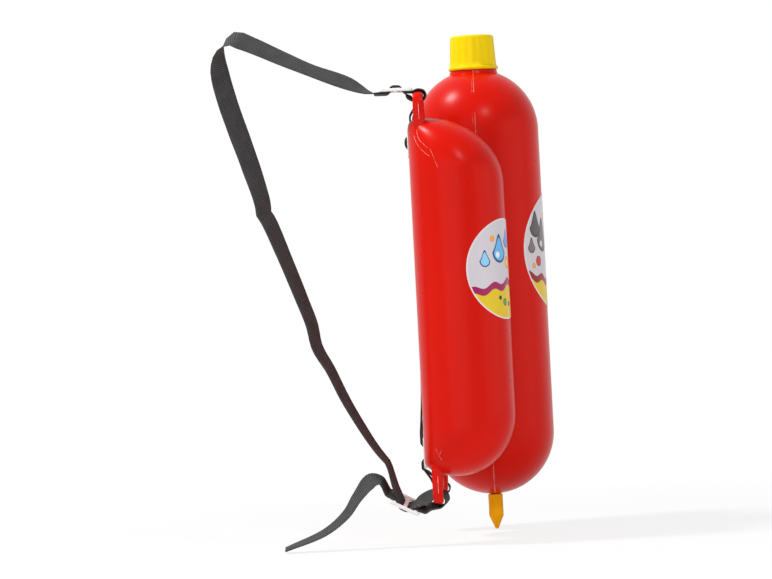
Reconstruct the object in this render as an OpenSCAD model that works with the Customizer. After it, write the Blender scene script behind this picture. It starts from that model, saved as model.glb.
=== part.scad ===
// Backpack water squirter: three red tanks, a screw cap, a twist nozzle and two webbing straps.
// X runs across the wearer's back, +Y points to the wearer, +Z is up.
// Heights are measured from the lowest point of the main tank and moved to the back's middle at the end.

/* [Main tank] */
// Outside diameter of the main tank
main_d = 105; // [95:1:112]
// Length of its straight wall between the round ends
main_straight = 255.5; // [240:0.5:280]
// How far its axis stands from the wearer's back
main_depth = 56; // [54:0.5:62]
// Wall of all three tanks
tank_wall = 1.8; // [1.2:0.1:2.4]
// Outside diameter of the filler neck
neck_d = 30; // [27:0.5:31]
// Bore of the filler neck
neck_bore = 25; // [21:0.5:26]
// Diameter of the low boss under the cap
boss_d = 40; // [38:0.5:44]
// How far that boss stands above the dome inside the cap
boss_h = 1.6; // [0.1:0.1:2]

/* [Side tanks] */
// Outside diameter of a side tank
side_d = 77; // [72:1:78]
// Distance of a side tank's axis from the middle
side_x = 84; // [84:1:92]
// Height of a side tank's lowest point
side_z = 21; // [16:1:26]
// Height of a side tank from end to end
side_h = 296.5; // [280:0.5:300]
// Front-to-back reach of the sloping top
top_reach = 62.5; // [56:0.5:66]
// Height of the sloping top
top_rise = 56; // [48:1:64]
// Front-to-back reach of the round bottom
foot_reach = 48; // [42:0.5:56]
// Height of the round bottom
foot_rise = 51; // [44:1:58]
// Height of the round corner at the back of the top
top_corner = 10; // [7:0.5:14]
// Height of the round corner at the back of the bottom
foot_corner = 13.5; // [9:0.5:18]
// Height over which the top narrows from side to side
top_shoulder = 46; // [36:1:60]
// Height over which the bottom narrows from side to side
foot_shoulder = 42; // [34:1:56]
// Clearance between a side tank and the main tank it is welded to
weld_gap = 0.2; // [0.15:0.05:0.5]

/* [Strap ears] */
// Width of an ear across the back
ear_w = 34; // [32:0.5:38]
// Thickness of an ear at its end
ear_t = 7; // [6:0.5:8]
// Thickness of an ear's legs beside the slot, at their end
ear_leg_t = 9.4; // [7:0.2:10]
// Thickness of an ear at its root
ear_root_t = 10; // [9:0.5:14]
// How far an ear stands out from the tank's end
ear_reach = 22; // [21:0.5:24]
// Distance of the ears from the wearer's back
ear_depth = 10.5; // [9.5:0.5:12]
// Width of the slot in an ear
ear_slot_w = 24; // [22.5:0.5:26]
// Height of that slot
ear_slot_h = 9; // [8.5:0.5:10]
// Height of the bar beyond the slot
ear_bar = 5; // [4:0.5:5.5]

/* [Screw cap] */
// Height of the cap
cap_h = 29.5; // [26:0.5:34]
// Diameter at its top
cap_top_d = 36.6; // [36:0.2:38]
// Diameter just above its bead
cap_low_d = 39; // [38:0.5:41]
// Diameter of the bead round its rim
cap_bead_d = 42.5; // [41:0.5:46]
// Height of that bead
cap_bead_h = 4.6; // [3:0.2:6]
// Bore of the cap
cap_bore = 32.6; // [32:0.1:33]
// Thickness of the cap's top
cap_top_t = 2; // [1.4:0.1:3]
// Radius of the cap's top edge
cap_edge = 2.6; // [1.5:0.1:3]
// Number of grip flutes
flute_count = 18; // [12:1:24]
// Depth of a flute
flute_depth = 0.7; // [0.3:0.1:0.8]
// Radius of a flute
flute_r = 5; // [4:0.5:8]
// Thickness of the sealing liner
liner_t = 1.5; // [1:0.1:2.5]
// Gap under the cap's rim, and under the liner
cap_gap = 0.4; // [0.3:0.05:0.8]

/* [Nozzle] */
// Diameter of the nozzle
nozzle_d = 12.3; // [11.5:0.1:14]
// Length of its straight part
nozzle_straight = 18.6; // [17:0.2:24]
// Length of its pointed part
nozzle_point = 10.8; // [9:0.2:14]
// Diameter of the blunt tip
tip_d = 2.6; // [2.4:0.1:3.4]
// Bore of the orifice
orifice_d = 1.6; // [1.4:0.1:1.8]
// Outside diameter of the tank's outlet spigot
spigot_d = 8; // [7.5:0.1:8.4]
// Length of that spigot below the tank
spigot_l = 14.5; // [13:0.5:15]
// Bore of the spigot
spigot_bore = 5; // [4:0.1:5.4]
// Running clearance between the spigot and the nozzle
spigot_gap = 0.3; // [0.25:0.05:0.4]
// Gap between the nozzle and the tank
nozzle_gap = 0.4; // [0.3:0.05:1]
// Thickness of the seal ring
seal_t = 1.2; // [1:0.05:1.4]
// Height of the seal ring above the spigot's end
seal_rise = 5; // [4.5:0.5:6]
// Clearance round the seal ring
seal_gap = 0.08; // [0.05:0.01:0.12]
// How far the closing pin enters the orifice
pin_entry = 2; // [1:0.25:2.25]
// Clearance round the closing pin
pin_gap = 0.15; // [0.1:0.05:0.2]

/* [Stickers] */
// Diameter of the sticker on the main tank
front_label_d = 97; // [80:1:104]
// Height of its middle
front_label_z = 204; // [190:1:220]
// Angle of its middle from straight ahead
front_label_turn = 4.5; // [0:0.5:10]
// Diameter of the sticker on a side tank
side_label_d = 83; // [70:1:88]
// Height of its middle
side_label_z = 190; // [180:1:200]
// Angle of its middle from straight outward
side_label_turn = 20; // [16:1:32]
// Thickness of the stickers
label_t = 0.3; // [0.2:0.05:0.5]

/* [Webbing and sliders] */
// Width of the webbing
web_w = 20; // [18:0.5:20.5]
// Thickness of the webbing
web_t = 1.3; // [1:0.1:1.4]
// Gap between webbing and what it lies on
lace_gap = 0.3; // [0.2:0.05:0.35]
// Length of a slider along the strap
slider_l = 27; // [26.5:0.5:29]
// Width of a slider
slider_w = 27; // [26:0.5:30]
// Thickness of a slider
slider_t = 3.2; // [2.8:0.1:3.4]
// Width of a slider's end bars
slider_end = 2.8; // [2.4:0.1:2.9]
// Width of a slider's middle bar
slider_mid = 3.4; // [2.8:0.1:3.5]
// Inside width of a slider's two slots
slider_slot_w = 21.6; // [21.2:0.2:23]
// Corner radius of a slider
slider_corner = 4; // [2:0.5:5]
// Corner radius of a slider's slots
slider_slot_corner = 0.8; // [0.4:0.1:1]

/* [Hidden] */
$fn = 96;

red = "crimson";
yellow = "gold";
orange = "orange";
white = "whitesmoke";
grey = "dimgray";

// Height of the wearer's contact point above the main tank's lowest point
back_z = 170;

// Main tank: centres of its round ends and the seats on its neck
main_r = main_d / 2;
main_top = main_r + main_straight;
boss_z = main_top + sqrt(main_r * main_r - cap_bore * cap_bore / 4) + boss_h;
cap_z = boss_z + cap_gap;
liner_z = cap_z + cap_h - cap_top_t - liner_t;
neck_z = liner_z - cap_gap;
cap_seat_gap = 0.1;

// Side tanks: ring levels over the sloping ends, and the sides of a ring
side_r = side_d / 2;
side_y = -side_r;
side_top = side_z + side_h;
ring_sides = 40;
inner_ring_sides = 28;
end_steps = [0, 9, 18, 27, 36, 45, 54, 61, 68, 75, 81, 86];
inner_end_steps = [0, 15, 30, 45, 60, 75, 84];

// Ears: how deep their roots go into the tank's end, and the rounding of their outline
ear_root = 12;
ear_corner = 9;
slot_corner = 2.5;

// Nozzle: heights below the main tank
nozzle_top = -nozzle_gap;
nozzle_knee = nozzle_top - nozzle_straight;
nozzle_tip = nozzle_knee - nozzle_point;
nozzle_bore = spigot_d + 2 * spigot_gap;
bore_end = -spigot_l - 1;
seal_z = -spigot_l + seal_rise;
pin_d = orifice_d - 2 * pin_gap;
pin_plug_l = 6;
pin_slot = 1.6;
tip_land = pin_entry + 0.4;

// Lacing: distance of the first and second layer of webbing from a slider's middle plane,
// and where their slanting stretches cross the slots at 45 degrees
layer_1 = slider_t / 2 + lace_gap + web_t / 2;
layer_2 = layer_1 + web_t + lace_gap;
lace_slack = 0.35;
lace_turn = slider_mid / 2 + slider_t / 2 + (web_t / 2 + lace_gap + lace_slack) * sqrt(2);
lace_step = (web_t + lace_gap) * sqrt(2);

// How far the inner webbing of the right strap lies off the tank's back
back_gap = 0.4;

// Slider places: [x, y, z, pitch, roll]. Toward its ear a slider points along -Y, turned by its pitch.
left_upper = [-side_x, slider_l / 2 + 4.75 - ear_depth, side_top + ear_reach + slider_t / 2 + 0.8, 1, 0];
left_lower = [-side_x, slider_l / 2 + 13.85 - ear_depth, side_z - ear_reach + 1.5, 27.5, 18];
right_upper = [side_x, layer_2 + web_t / 2 + back_gap, side_top - slider_l / 2 + 0.5, -90, 0];
right_lower = [side_x, layer_2 + web_t / 2 + back_gap, side_z + slider_l / 2 - 0.5, 90, 0];

// Ear bars: height of the middle of each bar
upper_bar = side_top + ear_reach - ear_bar / 2;
lower_bar = side_z - ear_reach + ear_bar / 2;
bar_over = ear_bar / 2 + lace_gap + web_t / 2;

// Free stretches of the straps: [y, z, roll], where a roll of 90 shows the webbing's face from the side
left_run = [[30, 341, -8], [48, 350, -34], [77, 362, -32], [102, 374, -38], [126, 386, -44], [139, 391, -46],
    [147, 388, -14], [152, 379, 20], [153, 366, 44], [148, 341, 50], [141, 317, 50], [131.5, 286, 46],
    [123, 254, 38], [122.5, 246, 36], [119, 240, 36], [106.5, 207, 31], [94.5, 173, 28], [87.5, 152, 26],
    [84, 133, 24], [74, 114, 20], [62.5, 88, 18], [44.5, 55, 14], [36, 42, 12], [30.5, 35, 10], [27.8, 26, 10]];
left_end = [[37, 20, -20], [45, 20.5, -36], [57, 8, -26], [67, -6, -20], [85, -20, -14], [119, -33, -6]];
right_run = [[5.4, 276, 0], [5.4, 250, 0], [5.4, 160, 0], [5.8, 90, 0], [8.3, 62, 0]];
right_end = [[6.6, 60, 0], [4.6, 76, 0], [3.7, 100, 0], [3.7, 232, 0], [3.4, 240, 0], [2.6, 243, 0],
    [1.8, 240, 0], [1.5, 232, 0], [1.5, 62, 0]];

// How far corners of the webbing are cut back, first and second time: in lacing, and in free stretches
lace_ease = [0.8, 0.35];
free_ease = [4, 2];

// Moves a piece from heights above the tank's lowest point to heights about the wearer's contact point
module framed() { translate([0, 0, -back_z]) children(); }

// Half of the outline of a bottle with round ends, in the plane of revolution
module round_ended(r, low, high) {
    intersection() {
        union() {
            translate([0, low]) circle(r);
            translate([0, high]) circle(r);
            translate([-r, low]) square([2 * r, high - low]);
        }
        translate([0, low - r]) square([r, high - low + 2 * r]);
    }
}

// Upright rectangle of the plane of revolution, from the axis out to r
module disc_profile(r, low, high) { translate([0, low]) square([r, high - low]); }

module main_tank() {
    color(red) framed() translate([0, -main_depth, 0]) rotate_extrude() difference() {
        union() {
            round_ended(main_r, main_r, main_top);
            disc_profile(boss_d / 2, main_top, boss_z);
            disc_profile(neck_d / 2, main_top, neck_z);
            disc_profile(spigot_d / 2, -spigot_l, main_r);
        }
        round_ended(main_r - tank_wall, main_r, main_top);
        disc_profile(neck_bore / 2, main_top, neck_z + 1);
        disc_profile(spigot_bore / 2, -spigot_l - 1, main_r);
    }
}

// Share of full reach that an elliptical end has left, h above its start with a height of rise
function left_of(h, rise) = h <= 0 ? 1 : sqrt(max(0, 1 - (h / rise) * (h / rise)));

// Outer radius of the main tank at height z
function main_at(z) = let (past = max(main_r - z, z - main_top, 0))
    sqrt(max(0, main_r * main_r - past * past));

// Point p of a side tank's ring, kept off the main tank by gap
function off_main(p, gap) = let (v = [p[0] - side_x, p[1] + main_depth - side_r],
    far = norm(v), need = main_at(p[2]) + gap)
    far >= need ? p : [v[0] * need / far + side_x, v[1] * need / far - main_depth + side_r, p[2]];

// Ring of a side tank at height z, with its wall moved in by cut
function side_ring(z, cut, sides) =
    let (up = z - (side_top - cut), down = side_z + cut - z,
        front = min(left_of(up + top_rise - cut, top_rise - cut) * top_reach + side_r - top_reach,
            left_of(down + foot_rise - cut, foot_rise - cut) * foot_reach + side_r - foot_reach) - cut,
        back = min(left_of(up + top_corner, top_corner) * (side_d - top_reach) + top_reach - side_r,
            left_of(down + foot_corner, foot_corner) * (side_d - foot_reach) + foot_reach - side_r) - cut,
        across = min(left_of(up + top_shoulder, top_shoulder),
            left_of(down + foot_shoulder, foot_shoulder)) * side_r - cut)
    [for (i = [0 : sides - 1]) let (a = 360 * i / sides)
        off_main([max(across, 0.5) * cos(a), (back - front) / 2 + (front + back) / 2 * sin(a), z],
            weld_gap + cut)];

// Levels of the rings: the round bottom, then the sloping top
function side_levels(cut, steps) = concat(
    [for (i = [len(steps) - 1 : -1 : 0]) side_z + cut + (foot_rise - cut) * (1 - sin(steps[i]))],
    [for (a = steps) side_top - cut - (top_rise - cut) * (1 - sin(a))]);

// Closed skin through a stack of rings, in triangles
module stacked(rings) {
    n = len(rings[0]);
    last = (len(rings) - 1) * n;
    polyhedron([for (r = rings) each r], concat(
        [[for (i = [0 : n - 1]) i]],
        [for (k = [0 : len(rings) - 2], i = [0 : n - 1]) let (j = (i + 1) % n)
            each [[k * n + i, (k + 1) * n + i, (k + 1) * n + j], [k * n + i, (k + 1) * n + j, k * n + j]]],
        [[for (i = [n - 1 : -1 : 0]) last + i]]), convexity = 6);
}

module side_skin(cut, sides, steps) {
    stacked([for (z = side_levels(cut, steps)) side_ring(z, cut, sides)]);
}

// Rectangle with round corners
module round_rect(w, h, r) {
    square([w - 2 * r, h], center = true);
    square([w, h - 2 * r], center = true);
    for (x = [-1, 1], y = [-1, 1]) translate([x * (w / 2 - r), y * (h / 2 - r)]) circle(r);
}

// Outline of an ear from the front, from its root up to its round end
module ear_outline() {
    tall = ear_reach + ear_root;
    translate([0, ear_reach - tall / 2]) round_rect(ear_w, tall, ear_corner);
    translate([-ear_w / 2, -ear_root]) square([ear_w, tall / 2]);
}

// Section of an ear from the side, tapering from its root to a round end t thick
module ear_section(t) {
    translate([0, ear_reach - t / 2]) circle(d = t);
    polygon([[-ear_root_t / 2, -ear_root], [ear_root_t / 2, -ear_root], [ear_root_t / 2, 0],
        [t / 2, ear_reach - t / 2], [-t / 2, ear_reach - t / 2], [-ear_root_t / 2, 0]]);
}

// Flat loop that stands on a side tank's end, in the plane of the ears: a bar, a slot and two thicker legs
module ear() {
    intersection() {
        rotate([90, 0, 0]) linear_extrude(ear_root_t, center = true) difference() {
            ear_outline();
            translate([0, ear_reach - ear_bar - ear_slot_h / 2])
                round_rect(ear_slot_w, ear_slot_h, slot_corner);
        }
        rotate([90, 0, 90]) union() {
            linear_extrude(ear_w + 2, center = true) ear_section(ear_t);
            for (s = [-1, 1]) translate([0, 0, s * (ear_slot_w + ear_w) / 4])
                linear_extrude((ear_w - ear_slot_w) / 2, center = true) ear_section(ear_leg_t);
        }
    }
}

// Left side tank about its own axis, its back towards +Y; the right one is its mirror image
module side_tank() {
    ear_y = side_r - ear_depth;
    difference() {
        union() {
            side_skin(0, ring_sides, end_steps);
            translate([0, ear_y, side_top]) ear();
            translate([0, ear_y, side_z]) mirror([0, 0, 1]) ear();
        }
        side_skin(tank_wall, inner_ring_sides, inner_end_steps);
    }
}

module left_side_tank() { color(red) framed() translate([-side_x, side_y, 0]) side_tank(); }

module right_side_tank() {
    color(red) framed() mirror([1, 0, 0]) translate([-side_x, side_y, 0]) side_tank();
}

module screw_cap() {
    taper = atan((cap_low_d - cap_top_d) / 2 / (cap_h - cap_bead_h));
    color(yellow) framed() translate([0, -main_depth, cap_z]) difference() {
        rotate_extrude() difference() {
            union() {
                polygon([[0, 0], [cap_low_d / 2, 0], [cap_low_d / 2, cap_bead_h],
                    [cap_top_d / 2, cap_h - cap_edge], [cap_top_d / 2 - cap_edge, cap_h], [0, cap_h]]);
                intersection() {
                    translate([cap_top_d / 2 - cap_edge, cap_h - cap_edge]) circle(cap_edge);
                    square([cap_bead_d, cap_h]);
                }
                translate([cap_bead_d / 2 - cap_bead_h / 2, cap_bead_h / 2]) circle(d = cap_bead_h);
                square([cap_bead_d / 2 - cap_bead_h / 2, cap_bead_h]);
            }
            translate([0, -1]) square([cap_bore / 2, cap_h - cap_top_t + 1]);
        }
        for (i = [0 : flute_count - 1]) rotate([0, 0, (i + 0.5) * 360 / flute_count])
            translate([cap_low_d / 2 + flute_r - flute_depth, 0, cap_bead_h]) rotate([0, -taper, 0])
                cylinder(r = flute_r, h = cap_h);
    }
}

module cap_liner() {
    color(white) framed() translate([0, -main_depth, liner_z])
        cylinder(d = cap_bore - 2 * cap_seat_gap, h = liner_t - cap_seat_gap);
}

module twist_nozzle() {
    color(orange) framed() translate([0, -main_depth, 0]) rotate_extrude() difference() {
        polygon([[0, nozzle_top], [nozzle_d / 2, nozzle_top], [nozzle_d / 2, nozzle_knee],
            [tip_d / 2, nozzle_tip], [0, nozzle_tip]]);
        disc_profile(nozzle_bore / 2, bore_end, nozzle_top + 1);
        polygon([[0, bore_end + 0.1], [nozzle_bore / 2, bore_end + 0.1], [nozzle_bore / 2, bore_end],
            [orifice_d / 2, nozzle_tip + tip_land], [0, nozzle_tip + tip_land]]);
        disc_profile(orifice_d / 2, nozzle_tip - 1, nozzle_tip + tip_land + 0.1);
        disc_profile(spigot_d / 2 + seal_t + 2 * seal_gap, seal_z - seal_t / 2 - seal_gap,
            seal_z + seal_t / 2 + seal_gap);
    }
}

module nozzle_seal() {
    color("black") framed() translate([0, -main_depth, seal_z]) rotate_extrude()
        translate([spigot_d / 2 + seal_gap + seal_t / 2, 0]) circle(d = seal_t, $fn = 32);
}

// Plug pressed into the spigot, slotted so that water passes, with a pin down to the orifice
module closing_pin() {
    color(white) framed() translate([0, -main_depth, 0]) {
        difference() {
            translate([0, 0, -spigot_l]) cylinder(d = spigot_bore, h = pin_plug_l);
            for (a = [0, 90]) rotate([0, 0, a])
                translate([pin_d / 2 + 0.4, -pin_slot / 2, -spigot_l - 1]) cube([spigot_bore, pin_slot, pin_plug_l + 2]);
            for (a = [180, 270]) rotate([0, 0, a])
                translate([pin_d / 2 + 0.4, -pin_slot / 2, -spigot_l - 1]) cube([spigot_bore, pin_slot, pin_plug_l + 2]);
        }
        translate([0, 0, nozzle_tip + tip_land - pin_entry])
            cylinder(d = pin_d, h = -spigot_l - nozzle_tip - tip_land + pin_entry + 0.5);
    }
}

// Round sticker of diameter d wrapped on a tank of radius r, facing -Y
module wrapped_label(r, d, z) {
    intersection() {
        translate([0, 0, z - d / 2 - 1]) difference() {
            cylinder(r = r + label_t, h = d + 2);
            translate([0, 0, -1]) cylinder(r = r, h = d + 4);
        }
        translate([0, 0, z]) rotate([90, 0, 0]) linear_extrude(2 * r) polygon([for (i = [0 : 63])
            let (a = i * 360 / 64) [r * sin(d / 2 * cos(a) / r * 180 / PI), d / 2 * sin(a)]]);
    }
}

module front_label() {
    color(white) framed() translate([0, -main_depth, 0]) rotate([0, 0, front_label_turn])
        wrapped_label(main_r, front_label_d, front_label_z);
}

module left_label() {
    color(white) framed() translate([-side_x, side_y, 0]) rotate([0, 0, -side_label_turn])
        wrapped_label(side_r, side_label_d, side_label_z);
}

module right_label() {
    color(white) framed() translate([side_x, side_y, 0]) rotate([0, 0, side_label_turn])
        wrapped_label(side_r, side_label_d, side_label_z);
}

// Three-bar slider at a place [x, y, z, pitch, roll]
module slider(at) {
    slot_l = (slider_l - slider_mid) / 2 - slider_end;
    color(white) framed() translate([at[0], at[1], at[2]]) rotate([at[3], 0, 0]) rotate([0, -at[4], 0])
        linear_extrude(slider_t, center = true) difference() {
            round_rect(slider_w, slider_l, slider_corner);
            for (s = [-1, 1]) translate([0, s * (slider_mid + slot_l) / 2])
                round_rect(slider_slot_w, slot_l, slider_slot_corner);
        }
}

module left_upper_slider() { slider(left_upper); }

module left_lower_slider() { slider(left_lower); }

module right_upper_slider() { slider(right_upper); }

module right_lower_slider() { slider(right_lower); }

// Points of webbing are [x, y, z, wx, wy, wz], where w points across the webbing.
// Point at u toward the ear and v above the middle plane of a slider
function on_slider(at, u, v) = let (c = cos(at[3]), s = sin(at[3]), cr = cos(at[4]), sr = sin(at[4]))
    [at[0] - v * sr, at[1] - u * c - v * cr * s, at[2] - u * s + v * cr * c, cr, -s * sr, c * sr];

// Webbing through a slider toward its ear. over is 1 where it passes over the middle bar and -1 under it;
// close is true for the layer that lies on the end bars. With a rise, it comes straight down into the
// first slot from that height instead of lying on the first end bar.
function laced(at, over, close, from, to, rise = 0) = let (bars = close ? layer_1 : layer_2,
    mid = close ? layer_2 : layer_1, turn = lace_turn + (close ? lace_step : 0),
    start = rise > 0 ? [[-turn - bars - rise, -over * (bars + rise)]]
        : [[from, -over * bars], [-turn - bars, -over * bars]])
    [for (p = concat(start, [[-turn + mid, over * mid], [turn - mid, over * mid],
        [turn + bars, -over * bars], [to, -over * bars]])) on_slider(at, p[0], p[1])];

function turned(route) = [for (i = [len(route) - 1 : -1 : 0]) route[i]];

function unit(v) = v / norm(v);
function place(p) = [p[0], p[1], p[2]];
function across(p) = [p[3], p[4], p[5]];

// Points [y, z] round an ear's bar at height b, with the webbing straight across
function round_bar(x, b, points) = [for (p = points) [x, p[0], b + p[1], 1, 0, 0]];

// Free stretch through points [y, z, roll] in the plane x
function free(x, points) = let (n = len(points)) [for (i = [0 : n - 1]) let (p = points[i],
    a = points[max(i - 1, 0)], b = points[min(i + 1, n - 1)], along = unit([0, b[0] - a[0], b[1] - a[1]]),
    up = cross(along, [1, 0, 0]) * sin(p[2])) [x, p[0], p[1], cos(p[2]), up[1], up[2]]];

// Route with each corner cut back by d
function cut_back(route, d) = [for (i = [0 : len(route) - 1])
    each (i == 0 || i == len(route) - 1 ? [route[i]] :
        [for (to = [route[i - 1], route[i + 1]]) let (way = to - route[i])
            route[i] + way * min(d / norm(place(way)), 0.3)])];

// Flat webbing along a route, its corners eased, as one skin of rectangular rings
module webbing(corners, ease) {
    route = cut_back(cut_back(corners, ease[0]), ease[1]);
    n = len(route);
    rings = [for (i = [n - 1 : -1 : 0])
        let (along = unit(place(route[min(i + 1, n - 1)]) - place(route[max(i - 1, 0)])),
            w = across(route[i]), wide = unit(w - along * (w * along)) * web_w / 2,
            deep = cross(along, wide) * web_t / web_w)
        [for (s = [[-1, -1], [1, -1], [1, 1], [-1, 1]]) place(route[i]) + wide * s[0] + deep * s[1]]];
    color(grey) framed() stacked(rings);
}

// Where a run or a spare end meets its loop, measured from a slider's middle away from its ear
meet = slider_l / 2 + 0.6;
// Straight stretch of a run or a spare end before it bends
lead = 3;
// Length of the hidden end of webbing past an upper slider
hidden_end = 4;
// How far past a slider's near end the webbing stays straight
near_end = slider_l / 2 + 1;
twisted_near_end = slider_l / 2 + 3.5;
// How far above the end bar the slack run meets its lower loop
drop = 2.5;

// Straight start of a run or spare end that leaves a slider at v above its middle plane
function leaving(at, v) = [for (u = [meet, meet + lead]) on_slider(at, -u, v)];

// Upper loop: from its hidden end over the middle bar, round the ear's bar and back over the middle bar
module left_upper_loop() {
    webbing(concat(laced(left_upper, 1, false, -meet - hidden_end, slider_l / 2 - 2.4),
        round_bar(-side_x, upper_bar, [[-4.6, -8], [-10.5, -9.2], [-16.5, -5.6], [-18, -0.5], [-15.5, 2.8],
            [-10.5, bar_over], [-8.4, 3.1]]),
        turned(laced(left_upper, 1, true, -meet, slider_l / 2 + 0.8))), lace_ease);
}

module right_upper_loop() {
    webbing(concat(laced(right_upper, 1, false, -meet - hidden_end, near_end),
        round_bar(side_x, upper_bar, [[-1, -8.2], [-5, -6.2], [-10.5, -5], [-15.6, -3.4], [-16, 0.4], [-14, 3],
            [-10.5, bar_over], [-6.6, 2.6], [-1.6, -2.4], [2.4, -9]]),
        turned(laced(right_upper, 1, true, -meet, near_end))), lace_ease);
}

// Lower loop: from the run under the middle bar, round the ear's bar and back under the middle bar
module left_lower_loop() {
    webbing(concat(laced(left_lower, -1, false, 0, twisted_near_end - 1, drop),
        [on_slider(left_lower, twisted_near_end - 0.2, layer_2 + 5)],
        round_bar(-side_x, lower_bar, [[-6, 7.4], [-11, 7.6], [-16.6, 5.4], [-17.6, 0.6], [-15.4, -2.8],
            [-11, -bar_over], [-5, -bar_over]]),
        turned(laced(left_lower, -1, true, -meet, twisted_near_end))), lace_ease);
}

module right_lower_loop() {
    webbing(concat(laced(right_lower, 1, false, -meet, near_end),
        round_bar(side_x, lower_bar, [[6.4, 12], [1.4, 7], [-4.6, 5.4], [-10.5, 5], [-15.6, 3.4], [-16, -0.4], [-14, -3],
            [-10.5, -bar_over], [-6, -3], [0, 0], [5.6, 7]]),
        turned(laced(right_lower, 1, true, -meet, near_end))), lace_ease);
}

module left_strap() {
    into = -lace_turn - layer_2 - drop;
    above = layer_2 + drop;
    webbing(concat(leaving(left_upper, -layer_1), free(-side_x, left_run),
        [on_slider(left_lower, into - lead, above + lead), on_slider(left_lower, into, above)]), free_ease);
}

module left_strap_end() {
    webbing(concat(leaving(left_lower, layer_1), free(-side_x, left_end)), free_ease);
}

module right_strap() {
    webbing(concat(leaving(right_upper, -layer_1), free(side_x, right_run),
        turned(leaving(right_lower, -layer_2))), free_ease);
}

module right_strap_end() {
    webbing(concat(leaving(right_lower, -layer_1), free(side_x, right_end)), free_ease);
}

main_tank();
left_side_tank();
right_side_tank();
screw_cap();
cap_liner();
twist_nozzle();
nozzle_seal();
closing_pin();
front_label();
left_label();
right_label();
left_upper_slider();
left_lower_slider();
right_upper_slider();
right_lower_slider();
left_strap();
left_upper_loop();
left_lower_loop();
left_strap_end();
right_strap();
right_upper_loop();
right_lower_loop();
right_strap_end();
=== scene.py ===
import bpy
import bmesh
from functools import partial
from math import acos, asin, atan2, copysign, cos, degrees, hypot, pi, radians, sin, sqrt
from mathutils import Matrix, Vector


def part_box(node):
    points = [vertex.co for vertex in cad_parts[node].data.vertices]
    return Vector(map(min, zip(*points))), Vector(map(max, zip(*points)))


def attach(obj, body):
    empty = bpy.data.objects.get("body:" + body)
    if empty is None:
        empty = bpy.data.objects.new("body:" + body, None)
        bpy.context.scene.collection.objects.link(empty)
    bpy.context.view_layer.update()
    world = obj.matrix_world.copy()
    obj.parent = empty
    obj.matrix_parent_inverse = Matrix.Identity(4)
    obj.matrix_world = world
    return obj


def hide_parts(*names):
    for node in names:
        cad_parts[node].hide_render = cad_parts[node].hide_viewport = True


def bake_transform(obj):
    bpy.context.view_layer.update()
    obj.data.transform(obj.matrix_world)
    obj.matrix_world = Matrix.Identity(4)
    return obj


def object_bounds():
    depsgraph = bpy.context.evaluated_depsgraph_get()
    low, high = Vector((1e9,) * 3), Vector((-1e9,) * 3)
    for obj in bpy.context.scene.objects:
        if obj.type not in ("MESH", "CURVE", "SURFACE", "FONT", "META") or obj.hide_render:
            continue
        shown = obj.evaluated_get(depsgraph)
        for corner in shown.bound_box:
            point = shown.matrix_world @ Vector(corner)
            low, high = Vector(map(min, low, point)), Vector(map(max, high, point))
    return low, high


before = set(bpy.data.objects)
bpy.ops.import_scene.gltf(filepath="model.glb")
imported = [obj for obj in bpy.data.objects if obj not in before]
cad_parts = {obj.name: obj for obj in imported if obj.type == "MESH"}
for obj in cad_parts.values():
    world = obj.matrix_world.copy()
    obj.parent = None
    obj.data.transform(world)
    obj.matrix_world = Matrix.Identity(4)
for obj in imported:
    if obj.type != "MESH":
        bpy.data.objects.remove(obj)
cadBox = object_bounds()
print("frame loaded:", len(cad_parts), "nodes")

mesh = bpy.ops.mesh
mm = 0.001
zeroHeight = 170.0  # the frame's zero above the main tank's lowest point, in mm
mainAxis = Vector((0.0, -0.056, 0.0))
sideAxis = Vector((-0.084, -0.0385, 0.0))
earPlane = -10.5  # y of the strap ears, in mm


def high(z):
    return (z - zeroHeight) * mm


# Helpers for modelling with operators
def deselect():
    active = bpy.context.view_layer.objects.active
    if active and active.mode != "OBJECT":
        bpy.ops.object.mode_set(mode="OBJECT")
    bpy.ops.object.select_all(action="DESELECT")


def pick(*pieces):  # selects the pieces, the first of them active
    deselect()
    for piece in pieces:
        piece.select_set(True)
    bpy.context.view_layer.objects.active = pieces[0]


def named(name):
    piece = bpy.context.object
    piece.name = name
    piece.data.name = name
    return piece


def begin(name, primitive, **values):
    deselect()
    primitive(**values)
    return named(name)


def edit(piece):
    pick(piece)
    bpy.ops.object.mode_set(mode="EDIT")


def selectAll():
    mesh.select_all(action="SELECT")


def done():
    bpy.ops.object.mode_set(mode="OBJECT")


def choose(piece, kind, test):  # selects verts, edges or faces of the edited piece by their place
    mesh.select_mode(type={"verts": "VERT", "edges": "EDGE", "faces": "FACE"}[kind])
    mesh.select_all(action="DESELECT")
    net = bmesh.from_edit_mesh(piece.data)
    for part in getattr(net, kind):
        if test(part):
            part.select_set(True)
    net.select_flush_mode()
    bmesh.update_edit_mesh(piece.data)


def shape(piece, move):  # moves every point of the mesh by hand
    for point in piece.data.vertices:
        point.co = move(point.co)
    piece.data.update()


def modify(piece, kind, **values):
    pick(piece)
    modifier = piece.modifiers.new(kind.lower(), kind)
    for key, value in values.items():
        setattr(modifier, key, value)
    bpy.ops.object.modifier_apply(modifier=modifier.name)


def join(piece, *others):
    pick(piece, *others)
    bpy.ops.object.join()
    return piece


def copyOf(piece, name):
    twin = piece.copy()
    twin.data = piece.data.copy()
    twin.name = name
    twin.data.name = name
    bpy.context.scene.collection.objects.link(twin)
    return twin


def markFlashHighlight(piece, share):  # how far each point carries the painted highlight along the flash, for the red finish
    marks = piece.data.attributes.new("flashHighlight", "FLOAT", "POINT")
    for point, mark in zip(piece.data.vertices, marks.data):
        mark.value = share(point.co)


def faceOut(piece, weld=None):  # turns the faces outward, after welding points nearer than weld
    edit(piece)
    selectAll()
    if weld:
        mesh.remove_doubles(threshold=weld)
    mesh.normals_make_consistent(inside=False)
    done()


def tidyMesh(piece):
    faceOut(piece, 0.002 * mm)


def smooth(piece, angle):
    pick(piece)
    bpy.ops.object.shade_smooth_by_angle(angle=radians(angle))


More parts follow.
